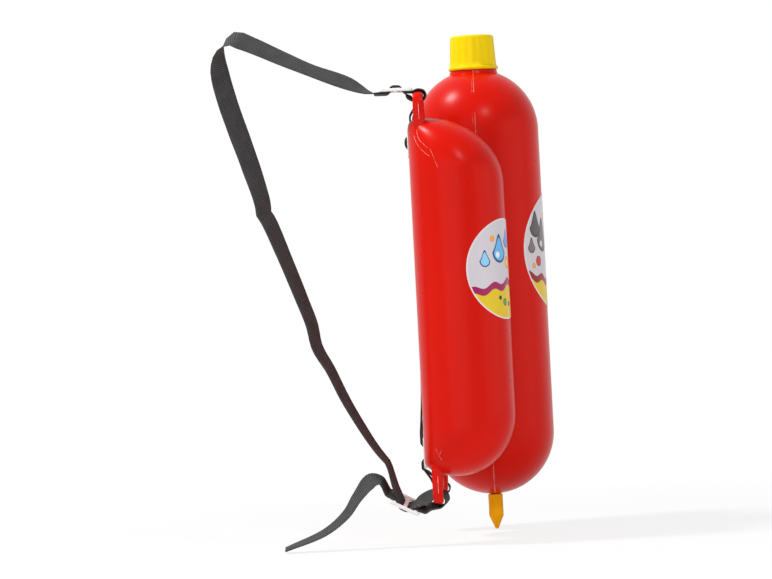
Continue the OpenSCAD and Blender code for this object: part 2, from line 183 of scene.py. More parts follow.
def arc(cx, cz, r, start, end, steps):
    angles = [radians(start + (end - start) * i / steps) for i in range(steps + 1)]
    return [(cx + r * cos(a), cz + r * sin(a)) for a in angles]


def straight(a, b, steps):  # points between two ends of a profile
    return [(a[0] + (b[0] - a[0]) * i / steps, a[1] + (b[1] - a[1]) * i / steps) for i in range(1, steps)]


def unit(share):
    return max(0, min(1, share))


def offAxis(place):  # how far and which way a point lies from the main axis, and its height in mm
    return Vector((place.x, place.y - mainAxis.y, 0)), place.z / mm + zeroHeight


def turn(name, profile, turns):  # draws a profile of (radius, height) in mm and spins it round the main axis
    piece = begin(name, mesh.primitive_plane_add, size=2 * mm)
    edit(piece)
    selectAll()
    mesh.merge(type="CENTER")
    spots = [Vector((r * mm, mainAxis.y, high(z))) for r, z in profile]
    bpy.ops.transform.translate(value=spots[0])
    for before, after in zip(spots, spots[1:]):
        mesh.extrude_region_move(TRANSFORM_OT_translate={"value": after - before})
    ends = (spots[0], spots[-1])
    choose(piece, "verts", lambda v: min((v.co - e).length for e in ends) < 0.001 * mm)
    mesh.edge_face_add()
    selectAll()
    for steps, angle in turns:
        mesh.spin(steps=steps, angle=radians(angle), center=mainAxis, axis=(0, 0, 1))
    done()
    tidyMesh(piece)
    return piece


def rope(name, spots, radius):  # thin bead along points in mm, as flash left by a mould
    deselect()
    bpy.ops.curve.primitive_nurbs_path_add()
    bead = bpy.context.object
    bead.data.splines.clear()
    line = bead.data.splines.new("NURBS")
    line.points.add(len(spots) - 1)
    for point, (x, y, z) in zip(line.points, spots):
        point.co = (x * mm, y * mm, high(z), 1)
    line.use_endpoint_u = True
    line.order_u = 3
    line.resolution_u = 6
    bead.data.bevel_depth = radius * mm
    bead.data.bevel_resolution = 2
    bead.data.use_fill_caps = True
    bpy.ops.object.convert(target="MESH")
    return named(name)


# Camera at the photograph's angle: level, a long lens, rolled a little
cameraSet = {"azimuth": 272.2, "distance": 3.0, "roll": 3.0, "lens": 164.6,
             "target": (-0.0037, 0.0277, 0.0079)}
azimuth = radians(cameraSet["azimuth"])
away = Vector((sin(azimuth), -cos(azimuth), 0))
level = Vector((0, 0, 1)).cross(away)
rollAngle = radians(cameraSet["roll"])
cameraRight = level * cos(rollAngle) - Vector((0, 0, 1)) * sin(rollAngle)
cameraUp = level * sin(rollAngle) + Vector((0, 0, 1)) * cos(rollAngle)
deselect()
bpy.ops.object.camera_add()
camera = bpy.context.object
camera.name = "photoCamera"
camera.data.sensor_fit = "HORIZONTAL"
camera.data.sensor_width = 36
camera.data.lens = cameraSet["lens"]
camera.data.clip_end = 30
spot = Vector(cameraSet["target"]) + away * cameraSet["distance"]
camera.matrix_world = Matrix([*zip(cameraRight, cameraUp, away, spot), (0, 0, 0, 1)])
bpy.context.scene.camera = camera
print("camera set")

# Main tank: a turned bottle with round ends, a neck, an outlet spigot and a parting seam
mainTank = {"radius": 52.5, "low": 52.5, "top": 308.0, "wall": 1.8, "bossRadius": 20.0, "bossTop": 359.5,
            "neckRadius": 15, "neckBore": 12.5, "neckTop": 385.5, "spigotRadius": 4, "spigotBore": 2.5,
            "spigotEnd": -14.5, "turns": [(8, 3.2), (54, 173.6), (16, 6.4), (54, 173.6), (8, 3.2)],
            "seamHeight": 0.45, "seamHalf": 0.4, "seamFaint": 0.2, "seamTop": (225, 90), "seamFoot": (95, 45),
            "seamSkin": 50.9, "seamInside": (40, 340), "seamBores": (14.2, 4.2), "asideTurn": 2.4,
            "asideHalf": 0.3, "asideShare": 0.55}


def makeMainTank(t):
    inner = t["radius"] - t["wall"]
    footStart = -90 + degrees(asin((t["spigotRadius"] + 0.8) / t["radius"]))
    domeEnd = degrees(acos((t["bossRadius"] + 0.6) / t["radius"]))
    spigot, spigotEnd = t["spigotRadius"], t["spigotEnd"]
    outside = [(spigot - 0.3, spigotEnd), (spigot, spigotEnd + 0.3), (spigot, -0.6), (spigot + 0.25, -0.05)]
    outside += arc(0, t["low"], t["radius"], footStart, 0, 34)
    outside += straight((t["radius"], t["low"]), (t["radius"], t["top"]), 20)
    outside += arc(0, t["top"], t["radius"], 0, domeEnd, 30)
    boss, bossTop = t["bossRadius"], t["bossTop"]
    outside += [(boss + 0.15, bossTop - 1.3), (boss, bossTop - 0.9), (boss - 0.15, bossTop - 0.3)]
    neck, neckTop = t["neckRadius"], t["neckTop"]
    outside += [(boss - 0.6, bossTop), (neck + 0.5, bossTop), (neck, bossTop + 0.5)]
    outside += [(neck, neckTop - 0.6), (neck - 0.4, neckTop)]
    neckBore, spigotBore = t["neckBore"], t["spigotBore"]
    boreTop = degrees(acos((neckBore + 0.6) / inner))
    boreFoot = -90 + degrees(asin((spigotBore + 0.4) / inner))
    inside = [(neckBore + 0.4, neckTop), (neckBore, neckTop - 0.4), (neckBore, bossTop)]
    inside += arc(0, t["top"], inner, boreTop, 0, 16) + arc(0, t["low"], inner, 0, boreFoot, 18)
    inside += [(spigotBore, 0.8), (spigotBore, spigotEnd + 0.3), (spigotBore + 0.3, spigotEnd)]
    tank = turn("mainTankShell", outside + inside, t["turns"])

    def seamShare(place):  # 1 on top of the ridge where the two halves of the mould met
        out, z = offAxis(place)
        neckSkin, spigotSkin = t["seamBores"]
        inside = out.length < t["seamSkin"] * mm and t["seamInside"][0] < z < t["seamInside"][1]
        if inside or out.length < (neckSkin if z > t["top"] else spigotSkin) * mm:
            return 0
        across = abs(out.y) / mm
        ends = unit((z - t["seamTop"][0]) / t["seamTop"][1]) + unit((t["seamFoot"][0] - z) / t["seamFoot"][1])
        if across < t["seamHalf"]:
            return (t["seamFaint"] + (1 - t["seamFaint"]) * ends) * (1 - across / t["seamHalf"])
        aside = degrees(atan2(out.y, abs(out.x))) - t["asideTurn"]  # a second line on the dome
        onDome = z > t["top"] + 5 and out.length > 30 * mm
        return t["asideShare"] if abs(aside) < t["asideHalf"] and onDome else 0

    def seam(place):
        out, z = offAxis(place)
        fall = unit((z - t["top"]) / t["radius"]) + max(-1, min(0, (z - t["low"]) / t["radius"]))
        normal = out.normalized() * sqrt(1 - fall * fall) + Vector((0, 0, fall))
        return place + normal * seamShare(place) * t["seamHeight"] * mm

    # the seam and its second line on the dome also get the painted highlight
    markFlashHighlight(tank, seamShare)
    shape(tank, seam)
    smooth(tank, 40)
    return tank


mainShell = makeMainTank(mainTank)
print("main tank modelled")

# Side tanks: a round-ended lobe with a saddle for the main tank, and a strap ear on each end
sideTank = {"radius": 38.5, "foot": 21.0, "top": 317.5, "topReach": 62.5, "topRise": 56.0, "footReach": 48.0,
            "footRise": 51.0, "topCorner": 14.0, "footCorner": 13.5, "topPower": 4, "topShoulder": 46.0,
            "footShoulder": 42.0, "gap": 0.2, "rings": (28, 22, 36), "segments": 112}
strapEar = {"width": 34.0, "tip": 7.0, "rootThick": 8.8, "reach": 22.0, "root": 12.0, "slot": (24.0, 9.0),
            "bar": 5.0, "legThick": 8.4, "legShift": 0.5, "legFrom": (10.6, 1.6), "corner": 9.0,
            "slotCorner": 2.5, "round": (1.9, 1.1), "around": 88, "between": 11}
# flash left by the mould, which carries a painted highlight: beads round the ears, and lines on the lobe's
# outer face as (y, z)
flashHighlight = {"rimRadius": 0.32, "lineRadius": 0.22, "lines": [
    [(-4.8, 314.5), (-5.2, 305), (-7, 297.4), (-10.6, 291.6), (-15, 287), (-17.6, 285)],
    [(-8, 307.5), (-8.7, 301.5), (-11, 297.4), (-13.6, 294.8), (-17, 291.6)],
    [(-18.6, 291.5), (-20.6, 286.4), (-22.4, 280.6), (-23.8, 275.5)],
    [(-10, 23.4), (-9.4, 30), (-11.6, 38), (-15, 44)],
    [(-14.6, 36), (-12.4, 40), (-10.6, 45)]]}


def endShare(h, rise, power=2):  # how much of its full reach a rounded end has kept, h past the end's start
    return 1.0 if h <= 0 else max(0.0, 1 - (h / rise) ** power) ** (1 / power)


def lobePoint(t, z, angle):  # point of the left lobe, in mm
    r = t["radius"]

    def share(past, end, part, power=2):
        return endShare(past + t[end + part], t[end + part], power)

    up, down = z - t["top"], t["foot"] - z
    topReach, footReach = t["topReach"], t["footReach"]
    front = min(share(up, "top", "Rise") * topReach + r - topReach,
                share(down, "foot", "Rise") * footReach + r - footReach)
    back = min(share(up, "top", "Corner", t["topPower"]) * (2 * r - topReach) + topReach - r,
               share(down, "foot", "Corner") * (2 * r - footReach) + footReach - r)
    across = min(share(up, "top", "Shoulder"), share(down, "foot", "Shoulder")) * r
    x = across * cos(angle) + sideAxis.x / mm
    y = (back - front) / 2 + (front + back) / 2 * sin(angle) + sideAxis.y / mm
    past = max(mainTank["low"] - z, z - mainTank["top"], 0)
    need = sqrt(max(0, mainTank["radius"] ** 2 - past ** 2)) + t["gap"]
    out = Vector((x, y - mainAxis.y / mm))
    if out.length < need:
        out = out.normalized() * need
    return out.x, out.y + mainAxis.y / mm, z


def roundedReach(direction, w, h, r):  # distance from the middle of a rounded rectangle to its outline
    low, far = 0.0, w + h
    for _ in range(40):
        half = (low + far) / 2
        x, z = abs(direction[0]) * half - (w / 2 - r), abs(direction[1]) * half - (h / 2 - r)
        inside = hypot(max(x, 0), max(z, 0)) + min(max(x, z), 0) < r
        low, far = (half, far) if inside else (low, half)
    return low


def makeEar(e):  # flat loop in the plane y = 0, its root at z = 0
    middle = e["reach"] - e["bar"] - e["slot"][1] / 2
    tall = e["reach"] + e["root"]
    kinds = ("outer", "inner")
    loops = [begin("ear" + k, mesh.primitive_circle_add, vertices=e["around"], radius=1) for k in kinds]

    def slotReach(way):
        return roundedReach(way, *e["slot"], e["slotCorner"])

    def tipReach(way):
        return roundedReach(way, e["width"], 2 * (e["reach"] - middle), e["corner"])

    def sideReach(way):
        return e["width"] / 2 / max(abs(way.x), 1e-6)

    def outline(place, kind):
        way = Vector((place.x, place.y)).normalized()
        if kind == "inner":
            reach = slotReach(way)
        elif way.y >= 0:
            reach = tipReach(way)
        else:
            reach = min(sideReach(way), (tall - e["reach"] + middle) / max(-way.y, 1e-6))
        return Vector((way.x * reach, 0, middle + way.y * reach)) * mm

    for loop, kind in zip(loops, kinds):
        shape(loop, lambda place: outline(place, kind))
    ear = join(*loops)
    edit(ear)
    selectAll()
    mesh.bridge_edge_loops(number_cuts=e["between"], interpolation="LINEAR")
    selectAll()
    mesh.extrude_region_move(TRANSFORM_OT_translate={"value": (0, 10 * mm, 0)})
    done()

    def thickness(place):
        x, z = place.x / mm, place.z / mm
        leg = unit((abs(x) - e["legFrom"][0]) / e["legFrom"][1])  # 1 in the thick legs beside the slot
        tip = e["tip"] + (e["legThick"] - e["tip"]) * leg
        edge = e["round"][0] + (e["round"][1] - e["round"][0]) * leg
        taper = e["rootThick"] / 2 + (tip - e["rootThick"]) / 2 * unit(z / (e["reach"] - tip / 2))
        out = Vector((x, z - middle))
        way = out.normalized()
        outer = tipReach(way) if way.y >= 0 else sideReach(way)
        rim = max(0, min(out.length - slotReach(way), outer - out.length))
        curve = edge - sqrt(max(0, edge ** 2 - max(0, edge - rim) ** 2))
        deep = copysign(taper - curve, place.y - 5 * mm) + e["legShift"] * leg
        return Vector((place.x, deep * mm, place.z))

    shape(ear, thickness)
    tidyMesh(ear)
    return ear


def makeSideTank(t, e):
    foot, wall, top = t["rings"]
    levels = [t["foot"] + t["footRise"] * (1 - cos(pi / 2 * i / foot)) for i in range(foot)]
    start, end = t["foot"] + t["footRise"], t["top"] - t["topRise"]
    levels += [start + (end - start) * i / wall for i in range(wall)]
    levels += [t["top"] - t["topRise"] * (1 - sin(pi / 2 * i / top)) for i in range(top + 1)]
    rings = len(levels) - 1
    lobe = begin("leftSideShell", mesh.primitive_uv_sphere_add, segments=t["segments"], ring_count=rings,
                 radius=1)

    def toLobe(place):
        k = round((asin(max(-1, min(1, place.z))) + pi / 2) / pi * rings)
        x, y, z = lobePoint(t, levels[k], atan2(place.y, place.x))
        return Vector((x * mm, y * mm, high(z)))

    shape(lobe, toLobe)
    tidyMesh(lobe)
    ear = makeEar(e)
    lowEar = copyOf(ear, "lowEar")
    at = Vector((sideAxis.x, earPlane * mm, 0))
    shape(ear, lambda p: p + at + Vector((0, 0, high(t["top"]))))
    shape(lowEar, lambda p: Vector((p.x, p.y, -p.z)) + at + Vector((0, 0, high(t["foot"]))))
    tidyMesh(lowEar)
    for part in (ear, lowEar):
        modify(lobe, "BOOLEAN", operation="UNION", object=part, solver="EXACT")
        bpy.data.objects.remove(part)
    x0, half, tip = sideAxis.x / mm, e["width"] / 2, e["reach"]
    rise = [(half, -1), (half, 6), (half, 13), (half - 2.6, 19.4), (half - 9, tip)]
    rim = [(-a, b) for a, b in rise] + [(0, tip)] + rise[::-1]
    beads = [rope("flashTop", [(x0 + a, earPlane, t["top"] + b) for a, b in rim], flashHighlight["rimRadius"]),
             rope("flashFoot", [(x0 + a, earPlane, t["foot"] - b) for a, b in rim], flashHighlight["rimRadius"])]
    for line in flashHighlight["lines"]:
        spots = []
        for y, z in line:
            ring = [lobePoint(t, z, radians(a)) for a in range(90, 271)]
            spots.append(min(ring, key=lambda p: abs(p[1] - y)))
        beads.append(rope("flashSide", spots, flashHighlight["lineRadius"]))
    # the flash beads carry the painted highlight all along
    for bead in beads:
        markFlashHighlight(bead, lambda place: 1)
    join(lobe, *beads)
    smooth(lobe, 35)
    return lobe


leftShell = makeSideTank(sideTank, strapEar)
rightShell = copyOf(leftShell, "rightSideShell")
edit(rightShell)
selectAll()
bpy.ops.transform.mirror(constraint_axis=(True, False, False), center_override=(0, 0, 0))
mesh.flip_normals()
done()
print("side tanks modelled")

# Screw cap: a turned cup with a bead, shallow flutes and a dished top
screwCap = {"foot": 359.9, "height": 29.5, "topRadius": 18.7, "lowRadius": 20.0, "bead": 21.25,
            "beadHeight": 3.2, "bore": 16.3, "edge": 2.6, "topThick": 2.0, "flutes": 18, "fluteDepth": 0.45,
            "fluteSharp": 1.4, "fluteFoot": (3.7, 1.2), "fluteTop": (0.2, 2.4),
            "dish": [(14.2, 0), (13.6, -0.15), (13.2, -0.5), (6, -0.55), (0, -0.55)]}


def makeCap(c):
    z0 = c["foot"]
    top = z0 + c["height"]
    bead, beadTop = c["beadHeight"] / 2, z0 + c["beadHeight"]
    bore, low, edge, under = c["bore"], c["lowRadius"], c["edge"], top - c["topThick"]
    outside = [(bore + 0.3, z0), (c["bead"] - bead * 0.6, z0)]
    outside += arc(c["bead"] - bead, z0 + bead, bead, -60, 78, 9)
    outside += [(low + 0.25, beadTop + 0.05), (low, beadTop + 0.4)]
    outside += straight((low, z0 + 4), (c["topRadius"], top - edge), 9)
    outside += arc(c["topRadius"] - edge, top - edge, edge, 0, 90, 8)
    outside += [(r, top + z) for r, z in c["dish"]]
    inside = [(0, under), (bore - 0.5, under), (bore, under - 0.5), (bore, z0 + 0.3)]
    cap = turn("screwCapShell", outside + inside, [(180, 360)])

    def flute(place):
        out, z = offAxis(place)
        (start, rise), (stop, fall) = c["fluteFoot"], c["fluteTop"]
        share = min(1, (z - z0 - start) / rise, (top - stop - z) / fall)
        if out.length < (bore + 0.6) * mm or share <= 0:
            return place
        angle = atan2(out.y, out.x)
        dip = c["fluteDepth"] * (0.5 - 0.5 * cos(angle * c["flutes"])) ** c["fluteSharp"] * share
        return place - out.normalized() * dip * mm

    shape(cap, flute)
    smooth(cap, 40)
    return cap


capShell = makeCap(screwCap)
print("cap modelled")

# Nozzle: a turned sleeve with a pointed, faintly faceted end
nozzle = {"radius": 6.15, "top": -0.4, "knee": -19.0, "tip": -29.8, "tipRadius": 1.3, "bore": 4.3,
          "boreEnd": -15.5, "orifice": 0.8, "land": 2.4, "facets": 10, "groove": 5.36, "sealAt": -9.5,
          "sealHalf": 0.68, "skin": 0.6, "facetFade": 1.5}


def makeNozzle(n):
    radius, bore, top, knee, tip = (n[key] for key in ("radius", "bore", "top", "knee", "tip"))
    outside = [(bore + 0.3, top), (radius - 0.4, top), (radius, top - 0.4), (radius, top - 3)]
    outside += [(radius - 0.02, -9), (radius, -14), (radius, knee + 0.5), (radius - 0.06, knee)]
    outside += straight((radius, knee), (n["tipRadius"], tip), 8)
    outside += [(n["tipRadius"] + 0.12, tip + 0.3), (n["tipRadius"] - 0.1, tip)]
    orifice, groove = n["orifice"], n["groove"]
    sealLow, sealTop = n["sealAt"] - n["sealHalf"], n["sealAt"] + n["sealHalf"]
    inside = [(orifice + 0.1, tip), (orifice, tip + 0.1), (orifice, tip + n["land"]), (bore, n["boreEnd"])]
    inside += [(bore, sealLow), (groove, sealLow), (groove, sealTop), (bore, sealTop), (bore, top - 0.3)]
    piece = turn("nozzleShell", outside + inside, [(120, 360)])

    def facet(place):
        out, z = offAxis(place)
        if z > knee + 0.1 or out.length < 1.05 * mm or z < tip + 0.05:
            return place
        coneRadius = radius + (n["tipRadius"] - radius) * (knee - z) / (knee - tip)
        if out.length < (coneRadius - n["skin"]) * mm:
            return place
        step = 2 * pi / n["facets"]
        within = (atan2(out.y, out.x) % step) - step / 2
        flat = cos(step / 2) / cos(within)
        share = min(1, (knee - z) / n["facetFade"])
        return mainAxis + Vector((0, 0, place.z)) + out * (1 + (flat - 1) * share)

    shape(piece, facet)
    smooth(piece, 28)
    return piece


nozzleShell = makeNozzle(nozzle)
print("nozzle modelled")

# Stickers: round films wrapped on the tanks
stickers = {"frontSticker": {"radius": 52.5, "across": 97.0, "height": 204.0, "turn": 4.5,
                             "axis": (0.0, -56.0), "node": "front_label"}}
for side, way in (("left", -1), ("right", 1)):
    stickers[side + "Sticker"] = {"radius": 38.5, "across": 83.0, "height": 190.0, "turn": way * 21.5,
                                  "axis": (way * 84.0, -38.5), "node": side + "_label"}
filmSet = {"thick": 0.3, "rows": 22, "around": 96, "off": 0.02}


def makeSticker(name, s):
    half, rows = s["across"] / 2, filmSet["rows"]
    film = begin(name, mesh.primitive_circle_add, vertices=filmSet["around"], radius=half, fill_type="NGON")
    edit(film)
    mesh.select_mode(type="FACE")
    selectAll()
    for _ in range(rows - 1):
        mesh.inset(thickness=half / rows, use_boundary=True)
    mesh.poke()
    done()
    chart = film.data.uv_layers.active or film.data.uv_layers.new(name="print")
    chart.name = "print"
    for loop in film.data.loops:
        flat = film.data.vertices[loop.vertex_index].co
        chart.data[loop.index].uv = (flat.x / s["across"] + 0.5, flat.y / s["across"] + 0.5)
    x0, y0 = s["axis"]

    def wrap(place):
        angle = place.x / s["radius"] + radians(s["turn"])
        r = s["radius"] + filmSet["off"]
        return Vector(((x0 + r * sin(angle)) * mm, (y0 - r * cos(angle)) * mm, high(s["height"] + place.y)))

    shape(film, wrap)
    faceOut(film)
    face = film.data.polygons[0]
    outward = (face.center - Vector((x0 * mm, y0 * mm, 0))) * Vector((1, 1, 0))
    if face.normal.dot(outward) < 0:
        edit(film)
        selectAll()
        mesh.flip_normals()
        done()
    modify(film, "SOLIDIFY", thickness=filmSet["thick"] * mm, offset=1)
    smooth(film, 40)
    return film


stickerPieces = {name: makeSticker(name, s) for name, s in stickers.items()}
print("stickers modelled")

# Three-bar sliders: one plate with two slots, bevelled, then copied to its four places
slider = {"length": 27.0, "width": 27.0, "thick": 2.6, "end": 2.8, "middle": 3.4, "slot": 21.6, "corner": 2.5,
          "slotCorner": 0.8, "edge": 0.55}
sliderPlaces = {
    "leftUpperSlider": {"at": (-84, 7.75, 341.9), "pitch": 1, "roll": 0, "node": "left_upper_slider"},
    "leftLowerSlider": {"at": (-84, 16.85, 0.5), "pitch": 27.5, "roll": 18, "node": "left_lower_slider"},
    "rightUpperSlider": {"at": (84, 4.1, 304.5), "pitch": -90, "roll": 0, "node": "right_upper_slider"},
    "rightLowerSlider": {"at": (84, 4.1, 34), "pitch": 90, "roll": 0, "node": "right_lower_slider"}}


def makeSlider(s):
    width, length, slot = s["width"] / 2, s["length"] / 2, s["slot"] / 2
    xs = [-width, -slot, slot, width]
    ys = [-length, -length + s["end"], -s["middle"] / 2, s["middle"] / 2, length - s["end"], length]
    plate = begin("sliderPlate", mesh.primitive_grid_add, x_subdivisions=3, y_subdivisions=5, size=2)

    def spread(p):
        column, row = round((p.x + 1) / 2 * 3), round((p.y + 1) / 2 * 5)
        return Vector((xs[column] * mm, ys[row] * mm, -s["thick"] / 2 * mm))

    def overSlot(face):
        spot = face.calc_center_median()
        return abs(spot.x) < 1 * mm and s["middle"] * mm < abs(spot.y) < (length - s["end"]) * mm

    def upright(e):
        a, b = e.verts
        return abs(a.co.z - b.co.z) > 1 * mm

    def atCorner(e):
        spot = e.verts[0].co
        return upright(e) and abs(spot.x) > (width - 0.5) * mm and abs(spot.y) > (length - 0.5) * mm

    def atSlot(e):
        spot = e.verts[0].co
        return upright(e) and abs(abs(spot.x) - slot * mm) < 0.05 * mm and abs(spot.y) < (length - 0.5) * mm

    shape(plate, spread)
    edit(plate)
    choose(plate, "faces", overSlot)
    mesh.delete(type="FACE")
    selectAll()
    mesh.extrude_region_move(TRANSFORM_OT_translate={"value": (0, 0, s["thick"] * mm)})
    selectAll()
    mesh.normals_make_consistent(inside=False)
    choose(plate, "edges", atCorner)
    mesh.bevel(offset=s["corner"] * mm, segments=6, affect="EDGES")
    choose(plate, "edges", atSlot)
    mesh.bevel(offset=s["slotCorner"] * mm, segments=3, affect="EDGES")
    done()
    modify(plate, "BEVEL", width=s["edge"] * mm, segments=3, limit_method="ANGLE", angle_limit=radians(40),
           use_clamp_overlap=False)
    tidyMesh(plate)
    return plate


def sliderTurn(place):
    pitch, roll = radians(place["pitch"]), radians(-place["roll"])
    return Matrix.Rotation(pitch, 3, "X") @ Matrix.Rotation(roll, 3, "Y")


sliderPlate = makeSlider(slider)
sliderPieces = {}
for name, place in sliderPlaces.items():
    piece = copyOf(sliderPlate, name)
    way = sliderTurn(place)
    at = Vector((place["at"][0] * mm, place["at"][1] * mm, high(place["at"][2])))
    shape(piece, lambda p: way @ p + at)
    smooth(piece, 40)
    sliderPieces[name] = piece
bpy.data.objects.remove(sliderPlate)
print("sliders modelled")

# Webbing: flat woven straps along the same routes as the solids
webbing = {"width": 20.0, "thick": 1.1, "gap": 0.14, "pitch": 1.7, "rib": 0.07, "tooth": 0.16, "slack": 0.35,
           "meet": 14.1, "lead": 3.0, "hiddenEnd": 4.0, "nearEnd": 14.5, "twistedNearEnd": 17.0, "drop": 2.5,
           "barOut": 8.4, "barBack": 14.3, "selvedge": 0.45, "edgeShare": 0.35,
           "lines": (-6.4, -3.2, 0, 3.2, 6.4), "cuts": (0.8, 0.35, 0.16), "cutShare": 0.3, "flowSteps": 14,
           "ringsPerRib": 4}
leftRun = [(30, 341, -8), (48, 350, -34), (77, 362, -32), (102, 374, -38), (126, 386, -44), (139, 391, -46),
           (147, 388, -14), (152, 379, 20), (153, 366, 44), (148, 341, 50), (141, 317, 50), (131.5, 286, 46),
           (123, 254, 38), (122.5, 246, 36), (119, 240, 36), (106.5, 207, 31), (94.5, 173, 28),
           (87.5, 152, 26), (84, 133, 24), (74, 114, 20), (62.5, 88, 18), (44.5, 55, 14), (36, 42, 12),
           (30.5, 35, 10), (27.8, 26, 10)]
leftEnd = [(37, 20, -20), (45, 20.5, -36), (57, 8, -26), (67, -6, -20), (85, -20, -14), (119, -33, -6)]
rightRun = [(4.0, 276, 0), (4.0, 250, 0), (4.0, 160, 0), (4.5, 90, 0), (6.3, 62, 0)]
rightEnd = [(4.8, 60, 0), (3.2, 76, 0), (2.5, 100, 0), (2.5, 232, 0), (2.3, 240, 0), (1.8, 242.5, 0),
            (1.3, 240, 0), (1.1, 232, 0), (1.1, 62, 0)]
upperBar, lowerBar, barOver = 337.0, 1.5, 3.9
# round the bar of an ear: y, height over the bar's middle and, for the twisted loops, roll
barSpots = {
    "leftUpperLoop": [(-2.2, -0.8, 12), (-4.8, -3.4, 9), (-8, -4.7, 6), (-10.5, -5, 5), (-14.9, -4, 6),
                      (-16.4, -0.4, 7), (-15, 3, 5), (-10.5, 4.3, 3), (-7.6, 3.9, 0)],
    "leftLowerLoop": [(3, 0.7, 28), (-2, 3.7, 26), (-6.2, 6.3, 18), (-11, 6.9, 13), (-15.8, 5.2, 11),
                      (-17.3, 0.8, 10), (-15.4, -3.5, 2), (-11, -5.1, -6), (-7.8, -5.2, -7),
                      (-4.6, -4.3, -19)],
    "rightUpperLoop": [(-1, -8.2), (-5, -6.2), (-10.5, -5), (-15.6, -3.4), (-16, 0.4), (-14.4, 3.2),
                       (-10.5, barOver), (-6.6, 3.2), (-1.6, -2.4), (2.4, -9)],
    "rightLowerLoop": [(2.2, 15.6), (-2.2, 10.6), (-5.8, 6.6), (-10.5, 5), (-15.4, 3.4), (-16, -0.4),
                       (-14.4, -3.2), (-10.5, -barOver), (-6.2, -3.2), (-2.6, 1.6), (0.4, 9.5), (4.2, 15.2)]}

layerOne = slider["thick"] / 2 + webbing["gap"] + webbing["thick"] / 2
layerTwo = layerOne + webbing["thick"] + webbing["gap"]
laceClear = webbing["thick"] / 2 + webbing["gap"] + webbing["slack"]
laceTurn = slider["middle"] / 2 + slider["thick"] / 2 + laceClear * sqrt(2)
laceStep = (webbing["thick"] + webbing["gap"]) * sqrt(2)


def onSlider(name, u, v):  # place u toward the ear and v above a slider's middle, and the way across it
    place = sliderPlaces[name]
    way = sliderTurn(place)
    spot = Vector(place["at"]) + way @ Vector((0, -u, v))
    return (spot, way @ Vector((1, 0, 0)))


def laced(name, over, close, start, end, rise=0):
    bars, mid = (layerOne, layerTwo) if close else (layerTwo, layerOne)
    turnAt = laceTurn + (laceStep if close else 0)
    steps = [(start, -over * bars), (-turnAt - bars, -over * bars)]
    if rise:
        steps = [(-turnAt - bars - rise, -over * (bars + rise))]
    steps += [(-turnAt + mid, over * mid), (turnAt - mid, over * mid), (turnAt + bars, -over * bars),
              (end, -over * bars)]
    return [onSlider(name, u, v) for u, v in steps]


def free(x, spots):
    route = []
    for i, (y, z, roll) in enumerate(spots):
        a, b = spots[max(i - 1, 0)], spots[min(i + 1, len(spots) - 1)]
        along = Vector((0, b[0] - a[0], b[1] - a[1])).normalized()
        up = along.cross(Vector((1, 0, 0)))
        tilt = radians(roll)
        route.append((Vector((x, y, z)), Vector((1, 0, 0)) * cos(tilt) + up * sin(tilt)))
    return route


def roundBar(x, bar, spots):  # spots from the middle of an ear's bar, each with its roll if it has one
    return free(x, [(y, bar + z, roll[0] if roll else 0) for y, z, *roll in spots])


def leaving(name, v):
    return [onSlider(name, -u, v) for u in (webbing["meet"], webbing["meet"] + webbing["lead"])]


def cutBack(route, far):
    out = []
    for i, (spot, wide) in enumerate(route):
        if i in (0, len(route) - 1):
            out.append((spot, wide))
            continue
        for other, otherWide in (route[i - 1], route[i + 1]):
            share = min(far / max((other - spot).length, 1e-6), webbing["cutShare"])
            out.append((spot.lerp(other, share), wide.lerp(otherWide, share)))
    return out


def slope(a, b, c, before, after):  # of a curve through three points, at the middle one
    return (b - a) / before - (c - a) / (before + after) + (c - b) / after


def flowing(route, steps):  # smooth curve through every point of a free stretch
    out = []
    for i in range(len(route) - 1):
        four = [route[max(i - 1, 0)], route[i], route[i + 1], route[min(i + 2, len(route) - 1)]]
        gaps = [max((b[0] - a[0]).length, 0.01) ** 0.5 for a, b in zip(four, four[1:])]
        for k in range(steps):
            t = k / steps
            pair = []
            for part in (0, 1):
                p0, p1, p2, p3 = (f[part] for f in four)
                m1 = slope(p0, p1, p2, *gaps[:2]) * gaps[1] if i else p2 - p1
                m2 = slope(p1, p2, p3, *gaps[1:]) * gaps[1] if i < len(route) - 2 else p2 - p1
                ends = p1 * (2 * t ** 3 - 3 * t ** 2 + 1) + m1 * (t ** 3 - 2 * t ** 2 + t)
                pair.append(ends + p2 * (3 * t ** 2 - 2 * t ** 3) + m2 * (t ** 3 - t ** 2))
            out.append(tuple(pair))
    return out + [route[-1]]


def evenly(route, step):  # same route in equal steps, with its length
    lengths = [0.0]
    for a, b in zip(route, route[1:]):
        lengths.append(lengths[-1] + (b[0] - a[0]).length)
    count = max(8, round(lengths[-1] / step))
    out, k = [], 0
    for i in range(count + 1):
        want = lengths[-1] * i / count
        while k < len(route) - 2 and lengths[k + 1] < want:
            k += 1
        share = (want - lengths[k]) / max(lengths[k + 1] - lengths[k], 1e-9)
        out.append((route[k][0].lerp(route[k + 1][0], share), route[k][1].lerp(route[k + 1][1], share)))
    return out, lengths[-1]


